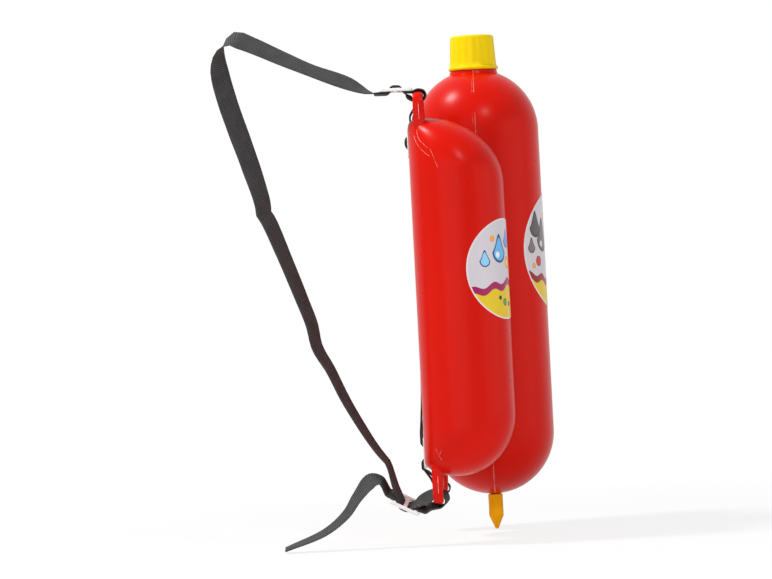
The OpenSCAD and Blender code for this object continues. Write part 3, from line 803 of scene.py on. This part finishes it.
def makeWebbing(name, route, lace, started):
    w = webbing
    for far in w["cuts"] if lace else ():
        route = cutBack(route, far)
    path, length = evenly(route if lace else flowing(route, w["flowSteps"]), w["pitch"] / w["ringsPerRib"])
    rings = len(path)
    half, deep = w["width"] / 2, w["thick"] / 2
    inset = half - w["selvedge"]
    outline = [(a, deep) for a in (-inset, *w["lines"], inset)] + [(half, deep * w["edgeShare"])]
    outline += [(-a, -b) for a, b in outline]
    strip = begin(name, mesh.primitive_cylinder_add, vertices=len(outline), radius=1, depth=2,
                  end_fill_type="NGON")
    edit(strip)
    choose(strip, "edges", lambda e: abs(e.verts[0].co.z - e.verts[1].co.z) > 1)
    mesh.subdivide(number_cuts=rings - 2)
    done()
    chart = strip.data.uv_layers.active or strip.data.uv_layers.new(name="weave")
    chart.name = "weave"
    spots, marks = [], []
    for point in strip.data.vertices:
        k = round((point.co.z + 1) / 2 * (rings - 1))
        corner = round(-atan2(point.co.y, point.co.x) / (2 * pi) * len(outline)) % len(outline)
        a, b = outline[corner]
        along = (path[min(k + 1, rings - 1)][0] - path[max(k - 1, 0)][0]).normalized()
        wide = path[k][1] - along * along.dot(path[k][1])
        wide.normalize()
        up = along.cross(wide)
        gone = started + length * k / (rings - 1)
        wave = cos(2 * pi * gone / w["pitch"])
        if abs(a) > half - 0.1:
            a += copysign(w["tooth"] * (wave - 1) / 2, a)
        else:
            b += copysign(w["rib"] * (wave - 1) / 2, b)
        spots.append(path[k][0] + wide * a + up * b)
        marks.append((a * mm, gone * mm))
    for point, place in zip(strip.data.vertices, spots):
        point.co = (place.x * mm, place.y * mm, high(place.z))
    for loop in strip.data.loops:
        chart.data[loop.index].uv = marks[loop.vertex_index]
    strip.data.update()
    faceOut(strip)
    smooth(strip, 60)
    return strip, length


def around(name, holder, over, bar, out, back, start, rise=0):  # through a slider, round a bar and back
    return (laced(holder, over, False, start, out, rise)
            + roundBar(sliderPlaces[holder]["at"][0], bar, barSpots[name])
            + laced(holder, over, True, -webbing["meet"], back)[::-1])


w = webbing
hiddenStart = -w["meet"] - w["hiddenEnd"]
runIn = (-laceTurn - layerTwo - w["drop"], layerTwo + w["drop"])
routes = {  # node, whether the stretch is laced, and the places along it
    "leftUpperLoop": ("left_upper_loop", True, around(
        "leftUpperLoop", "leftUpperSlider", 1, upperBar, w["barOut"], w["barBack"], hiddenStart)),
    "leftStrap": ("left_strap", False, leaving("leftUpperSlider", -layerOne) + free(-84, leftRun) + [
        onSlider("leftLowerSlider", runIn[0] - w["lead"], runIn[1] + w["lead"]),
        onSlider("leftLowerSlider", *runIn)]),
    "leftLowerLoop": ("left_lower_loop", True, around(
        "leftLowerLoop", "leftLowerSlider", -1, lowerBar, w["barOut"], w["twistedNearEnd"], 0, w["drop"])),
    "leftStrapEnd": ("left_strap_end", False, leaving("leftLowerSlider", layerOne) + free(-84, leftEnd)),
    "rightUpperLoop": ("right_upper_loop", True, around(
        "rightUpperLoop", "rightUpperSlider", 1, upperBar, w["nearEnd"], w["nearEnd"], hiddenStart)),
    "rightStrap": ("right_strap", False, leaving("rightUpperSlider", -layerOne) + free(84, rightRun)
                   + leaving("rightLowerSlider", -layerTwo)[::-1]),
    "rightLowerLoop": ("right_lower_loop", True, around(
        "rightLowerLoop", "rightLowerSlider", 1, lowerBar, w["nearEnd"], w["nearEnd"], -w["meet"])),
    "rightStrapEnd": ("right_strap_end", False, leaving("rightLowerSlider", -layerOne) + free(84, rightEnd))}
webPieces, webLengths = {}, {}
started = 0.0
for name, (node, lace, route) in routes.items():
    if name == "rightUpperLoop":
        started = 0.0
    webPieces[name], webLengths[name] = makeWebbing(name, route, lace, started)
    started += webLengths[name]
print("webbing modelled:", {n: round(v) for n, v in webLengths.items()})


# Materials: shared groups first, then one material for each finish
rubbedNoise = (75.0, 5.0, 0.65)  # scale, detail and roughness of the noise for rubbed patches


def socketed(name, inputs, outputs):  # a node group whose sockets take their kinds from their first values
    group = bpy.data.node_groups.new(name, "ShaderNodeTree")
    for label, value in inputs:
        kind = "Float" if isinstance(value, float) else "Color" if len(value) == 4 else "Vector"
        socket = group.interface.new_socket(label, in_out="INPUT", socket_type="NodeSocket" + kind)
        socket.default_value = value
    for label in outputs:
        kind = "NodeSocketColor" if label == "Colour" else "NodeSocketFloat"
        group.interface.new_socket(label, in_out="OUTPUT", socket_type=kind)
    nodes = group.nodes
    return group, nodes, group.links, nodes.new("NodeGroupInput"), nodes.new("NodeGroupOutput")


def feed(links, socket, value):  # sets a plain value on the socket, or links another socket to it
    if isinstance(value, (int, float, tuple)):
        socket.default_value = value
    else:
        links.new(value, socket)


def mathNode(nodes, links, operation, *values, clamp=False):
    node = nodes.new("ShaderNodeMath")
    node.operation = operation
    node.use_clamp = clamp
    for socket, value in zip(node.inputs, values):
        feed(links, socket, value)
    return node.outputs[0]


def mixNode(nodes, links, share, a, b):
    node = nodes.new("ShaderNodeMix")
    node.data_type = "RGBA"
    for place, value in ((0, share), (6, a), (7, b)):
        feed(links, node.inputs[place], value)
    return node.outputs[2]


def noiseNode(nodes, links, vector, scale, detail=2.0, rough=0.5):
    node = nodes.new("ShaderNodeTexNoise")
    for key, value in (("Detail", detail), ("Roughness", rough), ("Scale", scale), ("Vector", vector)):
        feed(links, node.inputs[key], value)
    return node.outputs[0]


def makers(nodes, links):  # the three node makers above, for one tree
    return [partial(make, nodes, links) for make in (mathNode, mixNode, noiseNode)]


def charted(nodes, links, name):  # a chart of the piece, whole and as its two parts
    chart = nodes.new("ShaderNodeUVMap")
    chart.uv_map = name
    parts = nodes.new("ShaderNodeSeparateXYZ")
    links.new(chart.outputs[0], parts.inputs[0])
    return chart.outputs[0], parts.outputs[0], parts.outputs[1]


def makeMouldedSkin():  # moulded plastic: slow colour drift, fine grain, rubbed patches
    group, nodes, links, given, out = socketed("mouldedSkin", [
        ("Colour", (0.8, 0.8, 0.8, 1)), ("Deep colour", (0.5, 0.5, 0.5, 1)), ("Drift scale", 18.0),
        ("Grain scale", 900.0), ("Gloss", 0.3), ("Gloss drift", 0.1)], ["Colour", "Roughness", "Height"])
    maths, mix, noise = makers(nodes, links)
    where = nodes.new("ShaderNodeTexCoord").outputs["Object"]
    base, deep, driftScale, grainScale, gloss, glossDrift = given.outputs[:6]
    drift = noise(where, driftScale, 3.0, 0.55)
    grain = noise(where, grainScale)
    rubbed = noise(where, *rubbedNoise)
    share = maths("MULTIPLY", maths("SUBTRACT", drift, 0.35, clamp=True), 2.2, clamp=True)
    links.new(mix(share, base, deep), out.inputs["Colour"])
    spread = maths("MULTIPLY", maths("SUBTRACT", rubbed, 0.5), glossDrift)
    links.new(maths("ADD", gloss, spread, clamp=True), out.inputs["Roughness"])
    slow = maths("MULTIPLY", drift, 1.6)
    links.new(maths("ADD", slow, maths("MULTIPLY", grain, 0.25)), out.inputs["Height"])
    return group


# yarns across the webbing, their slant, and the shares of ribs, yarns and fuzz in its height
weaveSet = {"yarn": 0.0011, "slant": 0.12, "rib": 0.6, "thread": 0.3, "fuzz": 0.25,
            "fuzzNoise": (2600.0, 3.0, 0.6), "wornNoise": (90.0, 2.0, 0.5), "wornLift": 0.45, "rough": 0.78,
            "ribGloss": 0.22}


def makeWebWeave(w):  # ribbed webbing: yarns across and along, from the strap's own chart in metres, with painted shade in its valleys
    group, nodes, links, given, out = socketed("webWeave", [
        ("Yarn", (0.1, 0.1, 0.1, 1)), ("Valley shade", (0.02, 0.02, 0.02, 1)), ("Pitch", 0.0017)],
        ["Colour", "Roughness", "Height"])
    maths, mix, noise = makers(nodes, links)
    chart, x, y = charted(nodes, links, "weave")
    yarnColour, valleyShade, pitch = given.outputs[:3]
    along = maths("DIVIDE", maths("ADD", y, maths("MULTIPLY", x, w["slant"])), pitch)
    rib = maths("MULTIPLY_ADD", maths("COSINE", maths("MULTIPLY", along, 2 * pi)), 0.5, 0.5)
    across = maths("MULTIPLY", x, 2 * pi / w["yarn"])
    step = maths("MULTIPLY", maths("FLOOR", along), pi)
    yarn = maths("MULTIPLY_ADD", maths("COSINE", maths("ADD", across, step)), 0.5, 0.5)
    fuzz = noise(chart, *w["fuzzNoise"])
    worn = noise(chart, *w["wornNoise"])
    woven = maths("ADD", maths("MULTIPLY", rib, w["rib"]), maths("MULTIPLY", yarn, w["thread"]))
    woven = maths("ADD", woven, maths("MULTIPLY", fuzz, w["fuzz"]))
    # painted shade: the colour runs from the yarn colour on the weave's tops to the dark valley colour in its
    # grooves
    lit = maths("MULTIPLY", woven, maths("ADD", worn, w["wornLift"]), clamp=True)
    links.new(mix(lit, valleyShade, yarnColour), out.inputs["Colour"])
    links.new(maths("SUBTRACT", w["rough"], maths("MULTIPLY", rib, w["ribGloss"])), out.inputs["Roughness"])
    links.new(woven, out.inputs["Height"])
    return group


mouldedSkin = makeMouldedSkin()
webWeave = makeWebWeave(weaveSet)


def finish(name, **plain):  # a material whose even values sit on the shader's own sockets
    material = bpy.data.materials.new(name)
    material.use_nodes = True
    shader = material.node_tree.nodes["Principled BSDF"]
    for key, value in plain.items():
        shader.inputs[key].default_value = value
    return material, material.node_tree.nodes, material.node_tree.links, shader


def bumped(nodes, links, shader, height, strength, distance):
    bump = nodes.new("ShaderNodeBump")
    bump.inputs["Strength"].default_value = strength
    bump.inputs["Distance"].default_value = distance
    links.new(height, bump.inputs["Height"])
    links.new(bump.outputs[0], shader.inputs["Normal"])


def skinned(name, specular, group, values, strength, distance):  # a finish whose skin is a shared group
    material, nodes, links, shader = finish(name, **{"Specular IOR Level": specular})
    skin = nodes.new("ShaderNodeGroup")
    skin.node_tree = group
    for key, value in values.items():
        skin.inputs[key].default_value = value
    links.new(skin.outputs["Colour"], shader.inputs["Base Color"])
    links.new(skin.outputs["Roughness"], shader.inputs["Roughness"])
    bumped(nodes, links, shader, skin.outputs["Height"], strength, distance)
    return material


def moulded(name, colour, deep, gloss, drift, strength, distance, grain=900.0, driftScale=18.0, specular=0.3):
    values = {"Colour": colour + (1,), "Deep colour": deep + (1,), "Gloss": gloss, "Gloss drift": drift,
              "Grain scale": grain, "Drift scale": driftScale}
    return skinned(name, specular, mouldedSkin, values, strength, distance)


redShell = moulded("redShell", (0.66, 0.0065, 0.0006), (0.61, 0.0050, 0.0005), 0.29, 0.10, 0.12, 0.0003,
                   700.0, 14.0, 0.11)


def addFlashHighlight(material, colour, spread):  # painted highlight: pale red along the mould's flash beads and seam, broken up by a noise
    nodes, links = material.node_tree.nodes, material.node_tree.links
    shader = nodes["Principled BSDF"]
    maths, mix, noise = makers(nodes, links)
    mark = nodes.new("ShaderNodeAttribute")
    mark.attribute_name = "flashHighlight"
    broken = noise(nodes.new("ShaderNodeTexCoord").outputs["Object"], spread, 3.0, 0.6)
    share = maths("MULTIPLY", maths("SUBTRACT", broken, 0.3, clamp=True), 3.4, clamp=True)
    share = maths("MULTIPLY", share, mark.outputs["Fac"], clamp=True)
    skin = shader.inputs["Base Color"].links[0].from_socket
    links.new(mix(share, skin, colour + (1,)), shader.inputs["Base Color"])


# painted highlight: pale red laid on the flash beads and the seam ridge
addFlashHighlight(redShell, (0.86, 0.36, 0.30), 160.0)
yellowCap = moulded("yellowCap", (0.93, 0.69, 0.004), (0.88, 0.62, 0.003), 0.34, 0.12, 0.2, 0.0003,
                    specular=0.08)
orangeNozzle = moulded("orangeNozzle", (0.98, 0.46, 0.003), (0.95, 0.41, 0.002), 0.36, 0.12, 0.2, 0.0003,
                       specular=0.06)
whiteNylon = moulded("whiteNylon", (0.90, 0.90, 0.88), (0.85, 0.85, 0.83), 0.38, 0.15, 0.2, 0.0002)
whiteFoam = moulded("whiteFoam", (0.82, 0.82, 0.80), (0.72, 0.72, 0.70), 0.75, 0.1, 0.5, 0.0003, 2200.0)
blackRubber = moulded("blackRubber", (0.02, 0.02, 0.022), (0.012, 0.012, 0.013), 0.6, 0.15, 0.3, 0.0002,
                      1500.0)
# the valley colour is painted shade for the weave's grooves
weaveValues = {"Yarn": (0.088, 0.088, 0.089, 1), "Valley shade": (0.022, 0.022, 0.023, 1),
               "Pitch": webbing["pitch"] * mm}
greyWebbing = skinned("greyWebbing", 0.12, webWeave, weaveValues, 0.6, 0.0003)

# Sticker prints: a pale ground, a yellow foot, a wave and a scatter of drops, rings and dots
inks = {"paper": (0.70, 0.655, 0.70), "paperShade": (0.64, 0.60, 0.645), "rim": (0.78, 0.75, 0.76),
        "yellow": (0.80, 0.56, 0.012), "plum": (0.36, 0.004, 0.10), "crimson": (0.30, 0.006, 0.012),
        "azure": (0.16, 0.50, 0.86), "sky": (0.30, 0.64, 0.92), "blue": (0.10, 0.36, 0.80),
        "navy": (0.012, 0.05, 0.20), "ice": (0.86, 0.94, 1.0), "mist": (0.60, 0.80, 0.96),
        "orange": (0.92, 0.36, 0.02), "rust": (0.80, 0.20, 0.01), "gold": (0.95, 0.66, 0.05),
        "amber": (0.92, 0.42, 0.03), "green": (0.10, 0.36, 0.04), "black": (0.02, 0.02, 0.02),
        "coal": (0.10, 0.09, 0.095), "soot": (0.03, 0.025, 0.028), "slate": (0.16, 0.14, 0.145),
        "ash": (0.22, 0.19, 0.19), "peat": (0.05, 0.04, 0.04), "pearl": (0.80, 0.76, 0.76),
        "smoke": (0.40, 0.36, 0.36), "red": (0.66, 0.02, 0.015), "maroon": (0.20, 0.006, 0.006),
        "brick": (0.60, 0.16, 0.01), "apricot": (0.92, 0.50, 0.06), "copper": (0.60, 0.20, 0.02)}
# foot: height and slope; wave: ink, half width, swing, turns; marks: across, up, size, 1 for a drop, two inks
prints = {
    "sidePrint": {"foot": (0.27, 0.16), "wave": ("plum", 0.035, 0.022, 4.2), "marks": [
        (0.40, 0.665, 0.105, 1, "azure", "navy"), (0.20, 0.585, 0.062, 1, "sky", "navy"),
        (0.56, 0.775, 0.07, 1, "blue", "navy"), (0.37, 0.64, 0.032, 0, "ice", "mist"),
        (0.56, 0.56, 0.062, 0, "orange", "rust"), (0.56, 0.56, 0.034, 0, "gold", "gold"),
        (0.30, 0.80, 0.030, 0, "amber", "rust"), (0.46, 0.17, 0.036, 0, "green", "black"),
        (0.56, 0.15, 0.026, 0, "black", "black"), (0.38, 0.215, 0.022, 0, "black", "black"),
        (0.80, 0.60, 0.08, 1, "sky", "navy"), (0.73, 0.83, 0.028, 0, "amber", "rust")]},
    "frontPrint": {"foot": (0.29, -0.14), "wave": ("crimson", 0.03, 0.018, 5.0), "marks": [
        (0.17, 0.70, 0.085, 1, "coal", "soot"), (0.30, 0.60, 0.11, 1, "slate", "soot"),
        (0.10, 0.53, 0.05, 1, "ash", "peat"), (0.27, 0.56, 0.03, 0, "pearl", "smoke"),
        (0.20, 0.41, 0.045, 0, "red", "maroon"), (0.12, 0.37, 0.024, 0, "amber", "brick"),
        (0.40, 0.80, 0.04, 0, "apricot", "copper"), (0.58, 0.64, 0.10, 1, "blue", "navy"),
        (0.78, 0.52, 0.07, 1, "sky", "navy"), (0.70, 0.79, 0.05, 0, "red", "maroon"),
        (0.47, 0.46, 0.035, 0, "apricot", "copper"), (0.62, 0.12, 0.03, 0, "green", "black"),
        (0.46, 0.12, 0.02, 0, "black", "black")]}}
markInside, rimFrom = 0.8, 0.972  # where a mark's inner ink and the sticker's rim begin


def makePrintMark():  # how far a point of the chart is from a round or drop-shaped mark, 1 on its outline
    group, nodes, links, given, out = socketed("printMark", [
        ("Chart", (0, 0, 0)), ("Across", 0.5), ("Up", 0.5), ("Size", 0.1), ("Point", 0.0)], ["Reach"])
    maths = partial(mathNode, nodes, links)
    chart, middleX, middleY, size, point = given.outputs[:5]
    parts = nodes.new("ShaderNodeSeparateXYZ")
    links.new(chart, parts.inputs[0])
    across = maths("DIVIDE", maths("SUBTRACT", parts.outputs[0], middleX), size)
    up = maths("DIVIDE", maths("SUBTRACT", parts.outputs[1], middleY), size)
    above = maths("MULTIPLY", maths("MAXIMUM", up, 0.0), point)
    across = maths("MULTIPLY", across, maths("ADD", maths("MULTIPLY", above, 0.9), 1.0))
    up = maths("SUBTRACT", up, maths("MULTIPLY", above, 0.42))
    square = maths("ADD", maths("MULTIPLY", across, across), maths("MULTIPLY", up, up))
    links.new(maths("SQRT", square), out.inputs["Reach"])
    return group


printMark = makePrintMark()


def makePrint(name, p):
    material, nodes, links, shader = finish(name, **{"Specular IOR Level": 0.3})
    maths, mix, noise = makers(nodes, links)
    chart, x, y = charted(nodes, links, "print")

    def reachOf(*values):
        mark = nodes.new("ShaderNodeGroup")
        mark.node_tree = printMark
        links.new(chart, mark.inputs["Chart"])
        for key, value in zip(("Across", "Up", "Size", "Point"), values):
            mark.inputs[key].default_value = value
        return mark.outputs[0]

    def paint(colour, share, ink):
        return mix(share, colour, inks[ink] + (1,))

    where = nodes.new("ShaderNodeTexCoord").outputs["Object"]
    colour = mix(noise(where, 40.0), inks["paper"] + (1,), inks["paperShade"] + (1,))
    height, slant = p["foot"]
    waveInk, half, swing, turns = p["wave"]
    ripple = maths("MULTIPLY", maths("SINE", maths("MULTIPLY", x, turns * 2 * pi)), swing)
    edge = maths("ADD", maths("MULTIPLY_ADD", x, slant, height), ripple)
    below = maths("SUBTRACT", edge, y)
    colour = paint(colour, maths("GREATER_THAN", below, 0.0), "yellow")
    colour = paint(colour, maths("LESS_THAN", maths("ABSOLUTE", below), half), waveInk)
    for across, up, size, point, inner, outer in p["marks"]:
        reach = reachOf(across, up, size, point)
        colour = paint(colour, maths("LESS_THAN", reach, 1.0), outer)
        colour = paint(colour, maths("LESS_THAN", reach, markInside), inner)
    colour = paint(colour, maths("GREATER_THAN", reachOf(0.5, 0.5, 0.5, 0), rimFrom), "rim")
    links.new(colour, shader.inputs["Base Color"])
    rubbed = noise(where, *rubbedNoise)
    links.new(maths("ADD", maths("MULTIPLY", rubbed, 0.16), 0.24), shader.inputs["Roughness"])
    bumped(nodes, links, shader, rubbed, 0.08, 0.0002)
    return material


printFinish = {name: makePrint(name, p) for name, p in prints.items()}
print("materials made")


def dress(piece, body, material, node):  # a piece given no body is left without one
    piece.data.materials.clear()
    piece.data.materials.append(material)
    for face in piece.data.polygons:
        face.material_index = 0
    if body:
        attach(piece, body)
    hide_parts(node)


dress(mainShell, "tanks", redShell, "main_tank")
dress(leftShell, "tanks", redShell, "left_side_tank")
dress(rightShell, "tanks", redShell, "right_side_tank")
dress(capShell, "cap", yellowCap, "screw_cap")
dress(nozzleShell, "nozzle", orangeNozzle, "twist_nozzle")
for name, s in stickers.items():
    design = printFinish["frontPrint" if name == "frontSticker" else "sidePrint"]
    dress(stickerPieces[name], "tanks", design, s["node"])
for name, place in sliderPlaces.items():
    body = "slack_strap" if "left" in name else "tanks"
    dress(sliderPieces[name], body, whiteNylon, place["node"])
webBodies = {"leftStrap": "slack_strap", "leftStrapEnd": "slack_strap"}
# y over which a loop twists from the ear to the strap
webTwist = {"leftUpperLoop": (-0.015, -0.006), "leftLowerLoop": (-0.015, 0.002)}
for name, (node, lace, route) in routes.items():
    piece = webPieces[name]
    if name in webTwist:
        dress(piece, None, greyWebbing, node)
        height = sum(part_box(node), Vector()).z / 2
        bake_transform(piece)
    else:
        dress(piece, webBodies.get(name, "tanks"), greyWebbing, node)
    "leftSideShell" if "left" in name else "rightSideShell"
for node, material in (("cap_liner", whiteFoam), ("nozzle_seal", blackRubber), ("closing_pin", whiteNylon)):
    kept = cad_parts[node]
    kept.data.materials.clear()
    kept.data.materials.append(material)
print("pieces dressed")

# Floor, white room and lamps
floorSet = {"size": 12.0, "drop": 0.0015, "glow": 1.02, "nearShare": 0.8, "fade": (0.35, 0.9),
            "shader": {"Base Color": (0.86, 0.86, 0.86, 1), "Roughness": 0.9, "Specular IOR Level": 0.1}}


def rayShare(nodes, links):  # 1 for the rays that see the background: camera, glossy and transmission
    path = nodes.new("ShaderNodeLightPath")
    mirrored = mathNode(nodes, links, "MAXIMUM", path.outputs["Is Glossy Ray"],
                        path.outputs["Is Transmission Ray"])
    return mathNode(nodes, links, "MAXIMUM", path.outputs["Is Camera Ray"], mirrored)


floorAt = (0, 0, cadBox[0][2] - floorSet["drop"])
floor = begin("paleFloor", mesh.primitive_plane_add, size=floorSet["size"], location=floorAt)
material, nodes, links, shader = finish("paleFloor", **floorSet["shader"])
where = nodes.new("ShaderNodeTexCoord").outputs["Object"]
length = nodes.new("ShaderNodeVectorMath")
length.operation = "LENGTH"
links.new(where, length.inputs[0])
fade = nodes.new("ShaderNodeMapRange")
limits = floorSet["fade"] + (floorSet["nearShare"], 1.0)
for key, value in zip(("From Min", "From Max", "To Min", "To Max"), limits):
    fade.inputs[key].default_value = value
links.new(length.outputs["Value"], fade.inputs["Value"])
glow = nodes.new("ShaderNodeEmission")
glow.inputs["Strength"].default_value = floorSet["glow"]
both = nodes.new("ShaderNodeMixShader")
links.new(mathNode(nodes, links, "MULTIPLY", rayShare(nodes, links), fade.outputs[0]), both.inputs[0])
links.new(shader.outputs[0], both.inputs[1])
links.new(glow.outputs[0], both.inputs[2])
links.new(both.outputs[0], nodes["Material Output"].inputs["Surface"])
floor.data.materials.append(material)

roomSet = {"ambient": 0.31}
world = bpy.data.worlds.new("paleRoom")
bpy.context.scene.world = world
world.use_nodes = True
nodes, links = world.node_tree.nodes, world.node_tree.links
room = nodes["Background"]
room.inputs["Color"].default_value = (1, 1, 1, 1)
strength = mathNode(nodes, links, "MAXIMUM", rayShare(nodes, links), roomSet["ambient"])
links.new(strength, room.inputs["Strength"])

lamps = {"overheadPanel": {"at": (-0.25, 0.95, 1.65), "aim": (0, -0.05, 0.05), "size": 0.3, "power": 30.0},
         "frontPanel": {"at": (-1.72, -0.71, 1.35), "aim": (0, -0.05, 0.05), "size": 0.24, "power": 9.0},
         "lowPanel": {"at": (-1.3, 0.35, -0.05), "aim": (0, -0.05, -0.2), "size": 1.2, "power": 4.8},
         "sidePanel": {"at": (-0.55, -1.35, -0.05), "aim": (0, -0.05, -0.2), "size": 1.2, "power": 4.0}}
for name, lamp in lamps.items():
    deselect()
    bpy.ops.object.light_add(type="AREA", location=lamp["at"])
    light = bpy.context.object
    light.name = name
    light.data.size = lamp["size"]
    light.data.energy = lamp["power"]
    light.rotation_euler = (Vector(lamp["at"]) - Vector(lamp["aim"])).to_track_quat("Z", "Y").to_euler()

bpy.context.scene.view_settings.view_transform = "Standard"
print("stage and lamps set")
